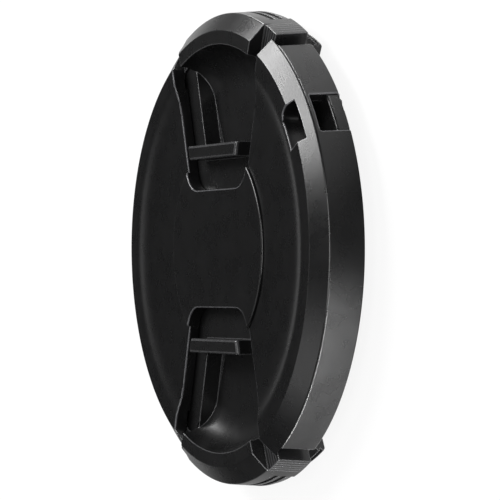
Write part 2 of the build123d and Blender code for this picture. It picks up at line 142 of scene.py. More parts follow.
class Bench:
    """Modelling operators, used as by hand on one object at a time, in millimetres."""

    @staticmethod
    def pick(body: Object) -> None:
        """Make one object the only one selected, and the active one.

        Args:
            body: the object.
        """
        bpy.ops.object.select_all(action="DESELECT")
        body.select_set(True)
        bpy.context.view_layer.objects.active = body

    @staticmethod
    @contextmanager
    def editing(body: Object) -> Iterator[None]:
        """Edit mode on one object, with all of it selected.

        Args:
            body: the object.

        Yields:
            Nothing, for as long as the object stays in edit mode.
        """
        Bench.pick(body)
        bpy.ops.object.mode_set(mode="EDIT")
        bpy.ops.mesh.select_all(action="SELECT")
        yield
        bpy.ops.object.mode_set(mode="OBJECT")

    @staticmethod
    def apply(body: Object, modifier: bpy.types.Modifier) -> None:
        """Apply a modifier to its object."""
        Bench.pick(body)
        bpy.ops.object.modifier_apply(modifier=modifier.name)

    @staticmethod
    def face_outwards() -> None:
        """Turn all faces of the mesh in edit mode outwards."""
        bpy.ops.mesh.select_all(action="SELECT")
        bpy.ops.mesh.normals_make_consistent(inside=False)

    @staticmethod
    def loop(points: Sequence[Vector], filled: bool) -> Object:
        """Closed loop through points, drawn from a circle with as many corners.

        Args:
            points: the loop's corners.
            filled: whether it gets a face.

        Returns:
            The loop.
        """
        bpy.ops.object.select_all(action="DESELECT")
        fill = "NGON" if filled else "NOTHING"
        bpy.ops.mesh.primitive_circle_add(vertices=len(points), fill_type=fill)
        drawn = bpy.context.object
        for vertex, point in zip(drawn.data.vertices, points):
            vertex.co = point
        return drawn

    @staticmethod
    def extruded(points: Sequence[Vector], travel: Vector) -> Object:
        """Solid swept straight from a flat outline.

        Args:
            points: the outline's corners.
            travel: how far, and which way, the outline is moved.

        Returns:
            The closed solid.
        """
        body = Bench.loop(points, filled=True)
        with Bench.editing(body):
            bpy.ops.mesh.extrude_region_move(TRANSFORM_OT_translate={"value": travel})
            Bench.face_outwards()
        return body

    @staticmethod
    def prism(outline: Sequence[Point], bottom: float, top: float) -> Object:
        """Upright solid over a flat outline."""
        points = [Vector((x, y, bottom)) for x, y in outline]
        return Bench.extruded(points, Vector((0, 0, top - bottom)))

    @staticmethod
    def block(x: Point, y: Point, z: Point) -> Object:
        """Box between pairs of limits."""
        return Bench.prism([(x[0], y[0]), (x[1], y[0]), (x[1], y[1]), (x[0], y[1])], *z)

    @staticmethod
    def turned(outline: Sequence[Point], middle: float = 0.0, half: float = 180.0) -> Object:
        """Solid turned about the cap's axis.

        Args:
            outline: closed outline of radii and heights.
            middle: middle of the sweep, in degrees from +Y towards +X.
            half: half the sweep, in degrees.

        Returns:
            The closed solid, whole or with flat ends.
        """
        points = [Vector((*polar(radius, middle - half), height)) for radius, height in outline]
        body = Bench.loop(points, filled=False)
        steps = max(2, round(AROUND * half / 180))
        with Bench.editing(body):
            bpy.ops.mesh.spin(steps=steps, angle=math.radians(2 * half), center=(0, 0, 0), axis=(0, 0, 1))
            bpy.ops.mesh.select_all(action="SELECT")
            bpy.ops.mesh.remove_doubles(threshold=WELD)
            bpy.ops.mesh.fill_holes(sides=0)
            Bench.face_outwards()
        return body

    @staticmethod
    def combine(body: Object, others: Sequence[Object], way: Mix) -> Object:
        """Combine a solid with others, which are joined first and used up.

        Args:
            body: the solid that is changed.
            others: the solids that change it.
            way: what they do to it.

        Returns:
            The changed solid.
        """
        tool, *rest = others
        for other in rest:
            Bench.combine(tool, [other], Mix.JOIN)
        modifier = body.modifiers.new("combine", "BOOLEAN")
        modifier.operation = way.value
        modifier.object = tool
        modifier.solver = "EXACT"
        Bench.apply(body, modifier)
        bpy.data.objects.remove(tool)
        return body

    @staticmethod
    def turned_round(body: Object) -> Object:
        """Copy of an object, turned half round the cap's axis.

        Args:
            body: the object.

        Returns:
            The copy, with a mesh of its own.
        """
        twin = body.copy()
        twin.data = body.data.copy()
        bpy.context.collection.objects.link(twin)
        twin.rotation_euler.z = math.pi
        Bench.pick(twin)
        bpy.ops.object.transform_apply(location=False, rotation=True, scale=False)
        return twin

    @staticmethod
    def clean(body: Object, distance: float) -> None:
        """Merge the slivers that cutting leaves.

        Args:
            body: the solid.
            distance: points closer than this are merged.
        """
        with Bench.editing(body):
            bpy.ops.mesh.remove_doubles(threshold=distance)
            bpy.ops.mesh.delete_loose()
            Bench.face_outwards()

    @staticmethod
    def break_edges(
        body: Object,
        width: float,
        ridges: Callable[[Vector], bool],
        hollows: Callable[[Vector], bool] | None = None,
        segments: int = 3,
        wear_and_highlight: float = 1.0,
    ) -> None:
        """Round the sharp edges of a solid, and mark the roundings as polished by handling and for a painted
        highlight.

        Args:
            body: the solid.
            width: how far a rounding reaches from its edge.
            ridges: says of a point whether an outer edge with both ends there is rounded.
            hollows: the same for inner edges, of which none are rounded without it.
            segments: faces across a rounding.
            wear_and_highlight: how strongly the roundings are marked, from 0 to 1; the mark pales them as a
                painted highlight and makes them less rough, as handling does.
        """
        work = bmesh.new()
        work.from_mesh(body.data)
        for element in (*work.verts, *work.edges, *work.faces):
            element.select = False
        for edge in work.edges:
            turn = edge.calc_face_angle_signed(0)
            wanted = ridges if turn > 0 else hollows
            if wanted and abs(turn) > SHARP and all(wanted(vertex.co) for vertex in edge.verts):
                edge.select_set(True)
        work.to_mesh(body.data)
        work.free()
        Bench.pick(body)
        bpy.ops.object.mode_set(mode="EDIT")
        bpy.ops.mesh.select_mode(type="EDGE")
        bpy.ops.mesh.bevel(
            offset=width, segments=segments, affect="EDGES", clamp_overlap=False, miter_outer="ARC"
        )
        bpy.ops.mesh.select_mode(type="FACE")
        edited = bmesh.from_edit_mesh(body.data)
        # The mark pales these faces as a painted highlight and makes them less rough, as handling does.
        layer = edited.faces.layers.float.get(WORN_AND_HIGHLIT) or edited.faces.layers.float.new(WORN_AND_HIGHLIT)
        for face in edited.faces:
            narrow = face.calc_area() < width * max(edge.calc_length() for edge in face.edges)
            if face.select and narrow:
                face[layer] = wear_and_highlight
        bpy.ops.mesh.select_mode(type="VERT")
        bpy.ops.object.mode_set(mode="OBJECT")

    @staticmethod
    def smooth(body: Object) -> None:
        """Shade roundings smoothly, and keep flat faces flat.

        Args:
            body: the solid.
        """
        Bench.pick(body)
        bpy.ops.object.shade_smooth_by_angle(angle=SHARP)
        weighted = body.modifiers.new("weighted", "WEIGHTED_NORMAL")
        weighted.keep_sharp = True
        weighted.weight = FLAT_FIRST
        Bench.apply(body, weighted)

    @staticmethod
    def to_metres(body: Object) -> None:
        """Bring a finished piece to metres, with its place in its mesh.

        Args:
            body: the piece.
        """
        Bench.pick(body)
        body.scale = (METRES, METRES, METRES)
        bpy.ops.object.transform_apply(location=True, rotation=True, scale=True)


@dataclass(frozen=True)
class CapForm:
    """Sizes that several pieces of the cap share, in millimetres and degrees."""

    rim_radius: float = 35.3
    rim_draft: float = 5.3
    wall_height: float = 5.4
    cap_depth: float = 7.3
    bevel_width: float = 2.7
    face_drop: float = 0.65
    face_thickness: float = 1.6
    rim_wall: float = 3.4
    ledge_width: float = 1.0
    back_recess: float = 0.3
    back_thickness: float = 0.8
    channel_inner: float = 9.0
    channel_inner_half: float = 9.8
    bevel_notch_angle: float = 28.4
    wall_notch_angle: float = 32.4
    travel: float = 2.3
    clearance: float = 0.2
    plate_thickness: float = 1.4
    wing_half: float = 18.0
    grip_proud: float = 0.9
    land_width: float = 2.1
    wing_setback: float = 0.8
    clip_inner: float = 32.15
    spring_side: float = 14.0
    spring_seat: float = 12.5
    spring_diameter: float = 3.0
    post_width: float = 4.0
    post_thickness: float = 2.4
    peg_width: float = 1.4
    peg_length: float = 1.5
    guide_gap: float = 0.15
    guide_thickness: float = 1.2
    stop_setback: float = 3.4
    hook_inset: float = 3.3
    hook_thickness: float = 1.2
    hook_width: float = 3.0
    hook_spacing: float = 12.0
    hook_catch: float = 0.5
    back_fit: float = 0.1

    def rim_at(self, height: float, proud: float = 0.0) -> float:
        """Outer radius of the tapering rim, or of a grip proud of it, at a height above the seat."""
        return self.rim_radius + proud - height * math.tan(math.radians(self.rim_draft))

    @property
    def front_radius(self) -> float:
        """Radius of the front edge, inside the bevel."""
        return self.rim_at(self.wall_height) - self.bevel_width

    @property
    def dish_floor(self) -> float:
        """Height of the dish's flat floor."""
        return self.cap_depth - self.face_drop

    @property
    def face_under(self) -> float:
        """Height of the front wall's rear face."""
        return self.dish_floor - self.face_thickness

    @property
    def ledge_radius(self) -> float:
        """Radius of the rim's inside, above the ledge."""
        return self.rim_radius - self.rim_wall

    @property
    def back_radius(self) -> float:
        """Radius of the back plate."""
        return self.ledge_radius + self.ledge_width

    @property
    def back_top(self) -> float:
        """Height of the back plate's inner face."""
        return self.back_recess + self.back_thickness

    @property
    def plate_top(self) -> float:
        """Height of a slider plate's front face."""
        return self.face_under - self.clearance

    @property
    def plate_bottom(self) -> float:
        """Height of a slider plate's rear face."""
        return self.plate_top - self.plate_thickness

    @property
    def floor_bottom(self) -> float:
        """Height of a scoop tub's rear face."""
        return self.back_top + self.clearance

    @property
    def land_outer(self) -> float:
        """Outer radius of a grip's land."""
        return self.front_radius + self.grip_proud

    @property
    def land_inner(self) -> float:
        """Inner radius of a grip's land."""
        return self.land_outer - self.land_width

    @property
    def wing_inner(self) -> float:
        """Inner radius of a grip's wings."""
        return self.land_inner + self.wing_setback

    @property
    def spring_level(self) -> float:
        """Height of the springs' axes."""
        return (self.face_under + self.back_top) / 2

    @property
    def guide_outer(self) -> float:
        """Outer face of a guide rib, from the middle line."""
        return self.wing_half + self.guide_gap + self.guide_thickness

    @property
    def stop_face(self) -> float:
        """Distance from the centre at which the guides stop a slider."""
        return math.sqrt(self.ledge_radius**2 - self.guide_outer**2) - self.stop_setback

    def channel_half(self, y: float) -> float:
        """Half width of a channel.

        Args:
            y: distance from the centre.

        Returns:
            The half width there.
        """
        corner_x, corner_y = polar(self.front_radius, self.bevel_notch_angle)
        slope = (corner_x - self.channel_inner_half) / (corner_y - self.channel_inner)
        return self.channel_inner_half + slope * (y - self.channel_inner)

    def tapered(self, y: Point, inset: float, z: Point) -> Object:
        """Prism with sides along the channel's.

        Args:
            y: its limits from the centre.
            inset: how far its sides are set in from the channel's.
            z: its heights.

        Returns:
            The solid.
        """
        near = self.channel_half(y[0]) - inset
        wide = self.channel_half(y[1]) - inset
        return Bench.prism([(-near, y[0]), (near, y[0]), (wide, y[1]), (-wide, y[1])], *z)

    def peg(self, x: float, y: Point) -> Object:
        """Square peg along Y that a spring sits on.

        Args:
            x: its middle.
            y: its ends.

        Returns:
            The solid.
        """
        half = self.peg_width / 2
        level = self.spring_level
        return Bench.block((x - half, x + half), y, (level - half, level + half))

    def hook_places(self) -> list[Point]:
        """Sides, as signs along X, and distances along Y of the hooks that hold the back plate."""
        return [(side, y * self.hook_spacing / 2) for side in (-1, 1) for y in (-1, 1)]


class Shader:
    """Node tree of one material, over object coordinates in metres."""

    def __init__(self, name: str) -> None:
        """Start a material.

        Args:
            name: the material's name.
        """
        self.material = bpy.data.materials.new(name)
        self.material.use_nodes = True
        self.tree = self.material.node_tree
        self.surface = self.tree.nodes["Principled BSDF"]
        self.place = self.tree.nodes.new("ShaderNodeTexCoord").outputs["Object"]

    def feed(self, target: Socket, value: Socket | float | tuple[float, ...]) -> None:
        """Set a socket.

        Args:
            target: the socket.
            value: a number or colour for it, or another socket to link to it.
        """
        if isinstance(value, Socket):
            self.tree.links.new(value, target)
        else:
            target.default_value = value

    def noise(self, size: float, detail: float) -> Socket:
        """Cloudy value about 0.5.

        Args:
            size: metres across its features.
            detail: how many finer layers it has.

        Returns:
            The value.
        """
        node = self.tree.nodes.new("ShaderNodeTexNoise")
        node.inputs["Scale"].default_value = 1 / size
        node.inputs["Detail"].default_value = detail
        self.feed(node.inputs["Vector"], self.place)
        return node.outputs["Fac"]

    def spread(self, value: Socket, source: Point, target: Point) -> Socket:
        """Value carried from one range to another, and held at its ends.

        Args:
            value: the value.
            source: range that it has.
            target: range that it gets.

        Returns:
            The carried value.
        """
        node = self.tree.nodes.new("ShaderNodeMapRange")
        self.feed(node.inputs["Value"], value)
        for name, number in zip(("From Min", "From Max", "To Min", "To Max"), (*source, *target)):
            node.inputs[name].default_value = number
        return node.outputs["Result"]

    def calculate(self, operation: str, first: Socket, second: Socket | float) -> Socket:
        """Sum, product or the like of two values.

        Args:
            operation: Blender's name for it.
            first: one value.
            second: the other.

        Returns:
            The result.
        """
        node = self.tree.nodes.new("ShaderNodeMath")
        node.operation = operation
        self.feed(node.inputs[0], first)
        self.feed(node.inputs[1], second)
        return node.outputs[0]

    def tint(self, share: Socket, first: Socket | Colour, second: Colour) -> Socket:
        """Colour between two others.

        Args:
            share: how much it has of the second.
            first: one colour.
            second: the other.

        Returns:
            The mixed colour.
        """
        node = self.tree.nodes.new("ShaderNodeMix")
        node.data_type = "RGBA"
        self.feed(node.inputs["Factor"], share)
        ends = [socket for socket in node.inputs if socket.type == "RGBA"]
        for socket, colour in zip(ends, (first, second)):
            self.feed(socket, colour if isinstance(colour, Socket) else (*colour, 1))
        return next(socket for socket in node.outputs if socket.type == "RGBA")

    def off_axis(self) -> Socket:
        """Distance from the cap's axis.

        Returns:
            The distance, in metres.
        """
        flat = self.tree.nodes.new("ShaderNodeVectorMath")
        flat.operation = "MULTIPLY"
        flat.inputs[1].default_value = (1, 1, 0)
        self.feed(flat.inputs[0], self.place)
        length = self.tree.nodes.new("ShaderNodeVectorMath")
        length.operation = "LENGTH"
        self.feed(length.inputs[0], flat.outputs["Vector"])
        return length.outputs["Value"]

    def mark(self, name: str) -> Socket:
        """Value that the mesh carries.

        Args:
            name: the attribute's name.

        Returns:
            The value.
        """
        node = self.tree.nodes.new("ShaderNodeAttribute")
        node.attribute_name = name
        return node.outputs["Fac"]

    def relief(self, height: Socket, depth: float, strength: Socket | float) -> None:
        """Give the surface a fine relief.

        Args:
            height: the relief's heights, from 0 to 1.
            depth: metres from its lowest to its highest.
            strength: how much of it shows.
        """
        node = self.tree.nodes.new("ShaderNodeBump")
        node.inputs["Distance"].default_value = depth
        self.feed(node.inputs["Strength"], strength)
        self.feed(node.inputs["Height"], height)
        self.feed(self.surface.inputs["Normal"], node.outputs["Normal"])


@dataclass(frozen=True)
class MouldedPlastic:
    """Black moulded plastic: cloudy tone, a fine spark-eroded grain and edges polished by handling, which are
    also painted paler as a highlight.

    Args:
        name: the material's name.
        slot: name of the piece's slot; not used.
        colour: its middle tone.
        roughness: its middle roughness.
        specular: level of its sheen.
        grain_size: metres across a grain.
        grain_depth: metres of the grain's relief.
        grained_from: metres from the axis beyond which the grain is at its full depth.
        grain_fade: metres over which the grain comes in.
        smooth_share: share of the grain inside that.
        tone_size: metres across a cloud of its tone.
        tone_spread: how far the tone strays from its middle, as a share of it.
        dull_size: metres across a patch of its roughness.
        dull_spread: how far the roughness strays from its middle.
        worn_size: metres across a patch of wear.
        worn_band: range of the noise between least and full wear.
        worn_least: wear of an edge where there is least of it.
        painted_highlight_tone: how many times paler a marked edge is painted, as a highlight.
        worn_gloss: how much less rough a worn edge is.
        worn_grain: share of the grain that is left on a worn edge.
    """

    name: str
    slot: str
    colour: Colour
    roughness: float
    specular: float = 0.5
    grain_size: float = 0.00016
    grain_depth: float = 0.000012
    grained_from: float = 0.0
    grain_fade: float = 0.0004
    smooth_share: float = 0.2
    tone_size: float = 0.005
    tone_spread: float = 0.15
    dull_size: float = 0.0028
    dull_spread: float = 0.02
    worn_size: float = 0.0011
    worn_band: Point = (0.35, 0.6)
    worn_least: float = 0.75
    painted_highlight_tone: float = 22.0
    worn_gloss: float = 0.1
    worn_grain: float = 0.15

    def make(self) -> bpy.types.Material:
        """Make the material for one piece.

        Returns:
            The material.
        """
        shader = Shader(self.name)
        inputs = shader.surface.inputs
        patchy = shader.spread(shader.noise(self.worn_size, 3.0), self.worn_band, (self.worn_least, 1.0))
        worn_and_highlit = shader.calculate("MULTIPLY", shader.mark(WORN_AND_HIGHLIT), patchy)
        deep = tuple((1 - self.tone_spread) * part for part in self.colour)
        pale = tuple((1 + self.tone_spread) * part for part in self.colour)
        # Marked edges are painted up to this many times paler than the body: a painted highlight in place of
        # the shine of their roundings.
        highlight_colour = tuple(self.painted_highlight_tone * part for part in self.colour)
        cloud = shader.spread(shader.noise(self.tone_size, 4.0), MIDDLING, (0.0, 1.0))
        shader.feed(inputs["Base Color"], shader.tint(worn_and_highlit, shader.tint(cloud, deep, pale), highlight_colour))
        handled = (self.roughness - self.dull_spread, self.roughness + self.dull_spread)
        dull = shader.spread(shader.noise(self.dull_size, 5.0), MIDDLING, handled)
        gloss = shader.calculate("MULTIPLY", worn_and_highlit, self.worn_gloss)
        shader.feed(inputs["Roughness"], shader.calculate("SUBTRACT", dull, gloss))
        shader.feed(inputs["Specular IOR Level"], self.specular)
        edge = (self.grained_from - self.grain_fade, self.grained_from)
        grained = shader.spread(shader.off_axis(), edge, (self.smooth_share, 1.0))
        clear = shader.spread(worn_and_highlit, (0.0, 1.0), (1.0, self.worn_grain))
        strength = shader.calculate("MULTIPLY", grained, clear)
        shader.relief(shader.noise(self.grain_size, 2.0), self.grain_depth, strength)
        return shader.material


@dataclass(frozen=True)
class SpringWire:
    """Drawn spring steel, with fine streaks and a little tarnish.

    Args:
        name: the material's name.
        slot: name of the spring's slot; not used.
        colour: colour of the bright wire.
        tarnish: colour of its tarnish.
        roughness: its middle roughness.
        tarnish_size: metres across a patch of tarnish.
        tarnish_band: range of the noise between bright and tarnished.
        streak_size: metres across a streak.
        streak_gloss: how much less rough a streak may be.
        streak_dull: how much rougher it may be.
        streak_depth: metres of the streaks' relief.
        streak_strength: how much of that relief shows.
    """

    name: str
    slot: str
    colour: Colour
    tarnish: Colour
    roughness: float
    tarnish_size: float = 0.0012
    tarnish_band: Point = (0.45, 0.75)
    streak_size: float = 0.00009
    streak_gloss: float = 0.08
    streak_dull: float = 0.1
    streak_depth: float = 0.000006
    streak_strength: float = 0.6

    def make(self) -> bpy.types.Material:
        """Make the material for one spring.

        Returns:
            The material.
        """
        shader = Shader(self.name)
        inputs = shader.surface.inputs
        inputs["Metallic"].default_value = 1.0
        dark = shader.spread(shader.noise(self.tarnish_size, 4.0), self.tarnish_band, (0.0, 1.0))
        shader.feed(inputs["Base Color"], shader.tint(dark, self.colour, self.tarnish))
        streaks = shader.noise(self.streak_size, 3.0)
        band = (self.roughness - self.streak_gloss, self.roughness + self.streak_dull)
        shader.feed(inputs["Roughness"], shader.spread(streaks, MIDDLING, band))
        shader.relief(streaks, self.streak_depth, self.streak_strength)
        return shader.material


@dataclass
class SubAssembly:
    """Part of the cap: its sizes, its finish and the pieces that it makes.

    Args:
        form: sizes that it shares with the other parts.
        finish: its material.
    """

    form: CapForm
    finish: MouldedPlastic | SpringWire

    def dress(self, piece: Object, node: str, body: str) -> Object:
        """Smooth a piece, bring it to metres, give it its finish and tie it to the frame.

        Args:
            piece: the modelled piece, in millimetres.
            node: the CAD node that it stands for.
            body: the CAD body that it moves with.

        Returns:
            The finished piece.
        """
        Bench.smooth(piece)
        Bench.to_metres(piece)
        piece.name = node + "_moulding"
        piece.data.materials.clear()
        piece.data.materials.append(self.finish.make())
        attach(piece, body)
        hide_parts(node)
        return piece


@dataclass
class FrontShell(SubAssembly):
    """Front moulding: rim, bevel, dished face with its disc, channels, eyelet and inner guides."""

    lip_width: float = 1.8
    face_radius: float = 24.0
    ogee_radius: float = 28.3
    ogee_steps: int = 14
    disc_radius: float = 16.1
    disc_rise: float = 0.4
    channel_corner: float = 3.9
    channel_steps: int = 12
    bevel_round: float = 0.5
    front_round: float = 0.3
    disc_round: float = 0.28
    seat_round: float = 0.25
    edge_round: float = 0.2
    guide_drop: float = 0.3
    stop_engagement: float = 1.8
    stop_thickness: float = 1.5
    eyelet_angle: float = 56.7
    window_half_angle: float = 5.3
    window_bottom: float = 1.95
    window_height: float = 2.75
    slot_half_angle: float = 5.8
    slot_inner_setback: float = 2.25
    slot_outer_setback: float = 1.2
    slot_corner: float = 1.4
    slot_corner_angle: float = 2.6
    slot_outer_steps: int = 10
    slot_inner_steps: int = 8
    eyelet_wall: float = 1.1
    bar_recess: float = 0.3
    bar_round: float = 0.45
    sliver: float = 0.03
    shelf_band: float = 0.02
    inside_band: float = 0.05

    def outline(self) -> list[Point]:
        """Outline of the turned body, with its edges rounded.

        Returns:
            Its radii and heights.
        """
        form = self.form
        lip_inner = form.front_radius - self.lip_width
        seat_inner = form.back_radius + form.back_fit
        ogee = [
            (lip_inner, form.cap_depth),
            (self.ogee_radius, form.cap_depth),
            (self.ogee_radius, form.dish_floor),
            (self.face_radius, form.dish_floor),
        ]
        corners = [
            (0, form.face_under, 0),
            (form.ledge_radius, form.face_under, 0),
            (form.ledge_radius, form.back_top, 0),
            (seat_inner, form.back_top, 0),
            (seat_inner, 0, 0),
            (form.rim_radius, 0, self.seat_round),
            (form.rim_at(form.wall_height), form.wall_height, self.bevel_round),
            (form.front_radius, form.cap_depth, self.front_round),
            *[(radius, height, 0) for radius, height in curve(ogee, self.ogee_steps)],
            (self.disc_radius, form.dish_floor, 0),
            (self.disc_radius, form.dish_floor + self.disc_rise, self.disc_round),
            (0, form.dish_floor + self.disc_rise, 0),
        ]
        return rounded(corners)

    def guides(self) -> list[Object]:
        """Guide ribs for the sliders' wings, hooked at their ends to stop them.

        Returns:
            The ribs and their hooks.
        """
        form = self.form
        z = (form.plate_bottom - self.guide_drop, form.face_under + OVERLAP)
        stop_end = form.stop_face + self.stop_thickness
        ribs = []
        for side in (-1, 1):
            x = (side * (form.wing_half + form.guide_gap), side * form.guide_outer)
            ribs.append(Bench.block(x, (-stop_end, stop_end), z))
            hook_x = (side * (form.wing_half - self.stop_engagement), side * form.guide_outer)
            for end in (-1, 1):
                ribs.append(Bench.block(hook_x, (end * form.stop_face, end * stop_end), z))
        return ribs

    def spring_posts(self) -> list[Object]:
        """Fixed posts between the sliders, with a peg for a spring on each face.

        Returns:
            The posts and their pegs.
        """
        form = self.form
        half = form.post_thickness / 2
        reach = half + form.peg_length
        z = (form.back_top, form.face_under + OVERLAP)
        posts = []
        for x in (-form.spring_side, form.spring_side):
            posts.append(Bench.block((x - form.post_width / 2, x + form.post_width / 2), (-half, half), z))
            posts.append(form.peg(x, (-reach, reach)))
        return posts

    def hooks(self) -> list[Object]:
        """Barbed hooks that reach through the back plate.

        Returns:
            The hooks.
        """
        form = self.form
        outer = form.ledge_radius - form.hook_inset
        section = [
            (outer - form.hook_thickness, form.face_under + OVERLAP),
            (outer - form.hook_thickness, 0),
            (outer, 0),
            (outer + form.hook_catch, form.back_recess),
            (outer, form.back_recess),
            (outer, form.face_under + OVERLAP),
        ]
        hooks = []
        for side, y in form.hook_places():
            points = [Vector((side * x, y - form.hook_width / 2, z)) for x, z in section]
            hooks.append(Bench.extruded(points, Vector((0, form.hook_width, 0))))
        return hooks

    def eyelet_box(self) -> Object:
        """Solid corner inside the rim that the eyelet's passage is sunk into.

        Returns:
            The solid.
        """
        form = self.form
        inner = form.front_radius - self.slot_inner_setback - self.eyelet_wall
        outer = form.ledge_radius + OVERLAP
        top = form.face_under + OVERLAP
        section = [(inner, form.back_top), (outer, form.back_top), (outer, top), (inner, top)]
        wall_angle = math.degrees(self.eyelet_wall / inner)
        return Bench.turned(section, self.eyelet_angle, self.slot_half_angle + wall_angle)

    def channel(self, through: bool) -> Object:
        """Cutter of the upper channel.

        Args:
            through: whether it is the deep part inside the rim, or the shallow part through the bevel.

        Returns:
            The cutter.
        """
        form = self.form
        angle = form.bevel_notch_angle
        inner = (form.channel_inner_half, form.channel_inner)
        corner = polar(form.front_radius, angle)
        right: list[Corner] = [(*inner, self.channel_corner)]
        if through:
            reach = form.ledge_radius
            y = math.sqrt(reach**2 - corner[0] ** 2)
            edge = math.degrees(math.atan2(form.channel_half(y), y))
            right += [(x, y, 0) for x, y in arc(reach, edge, 0, self.channel_steps)[:-1]]
        else:
            right += [(*corner, 0), (*polar(FAR, angle), 0)]
        left = [(-x, y, radius) for x, y, radius in reversed(right)]
        bottom = form.plate_top if through else form.wall_height
        return Bench.prism(rounded([*left, *right], self.channel_steps), bottom, FAR)

    def wall_notch(self) -> Object:
        """Cutter of the wider notch in the rim's wall, with room for the slider's travel.

        Returns:
            The cutter.
        """
        form = self.form
        inner = form.wing_inner - form.travel - 2 * form.clearance
        section = [(inner, -FAR), (FAR, -FAR), (FAR, form.wall_height), (inner, form.wall_height)]
        return Bench.turned(section, 0.0, form.wall_notch_angle)

    def eyelet_cutters(self) -> list[Object]:
        """Cutters of the front slot, and of the side window with the recess over its bar.

        Returns:
            Both cutters.
        """
        form = self.form
        inner = form.front_radius - self.slot_inner_setback
        outer = form.front_radius + self.slot_outer_setback
        start = self.eyelet_angle - self.slot_half_angle
        end = self.eyelet_angle + self.slot_half_angle
        slot: list[Corner] = [(*polar(inner, start), self.slot_corner)]
        slot += [(*point, 0) for point in arc(outer, start, end, self.slot_outer_steps)]
        last = start + self.slot_corner_angle
        slot += [(*point, 0) for point in arc(inner, end, last, self.slot_inner_steps)]
        window_top = self.window_bottom + self.window_height
        bar_face = form.rim_radius - self.bar_recess
        section = [
            (inner, self.window_bottom, 0),
            (form.rim_at(self.window_bottom) - self.bar_recess, self.window_bottom, self.bar_round),
            (bar_face, 0, self.seat_round),
            (bar_face - MARGIN, -MARGIN, 0),
            (FAR, -MARGIN, 0),
            (FAR, window_top, 0),
            (inner, window_top, 0),
        ]
        window = Bench.turned(rounded(section), self.eyelet_angle, self.window_half_angle)
        return [Bench.prism(rounded(slot), self.window_bottom, FAR), window]

    def outside(self, point: Vector) -> bool:
        """Whether a point is on the outside, but not on the shelf under the bevel.

        Args:
            point: the point.

        Returns:
            Whether edges there are broken.
        """
        form = self.form
        if abs(point.z - form.wall_height) < self.shelf_band:
            return False
        in_front = point.z > form.face_under + self.inside_band
        return in_front or point.xy.length > form.ledge_radius + self.inside_band

    def build(self) -> list[Object]:
        """Model and dress the shell.

        Returns:
            The shell.
        """
        body = Bench.turned(self.outline())
        inside = [*self.guides(), *self.spring_posts(), *self.hooks(), self.eyelet_box()]
        Bench.combine(body, inside, Mix.JOIN)
        cutters = []
        for cutter in (self.channel(True), self.channel(False), self.wall_notch()):
            cutters += [Bench.turned_round(cutter), cutter]
        Bench.combine(body, [*cutters, *self.eyelet_cutters()], Mix.CUT)
        Bench.clean(body, self.sliver)
        Bench.break_edges(body, self.edge_round, self.outside)
        return [self.dress(body, "front_shell", "shell")]


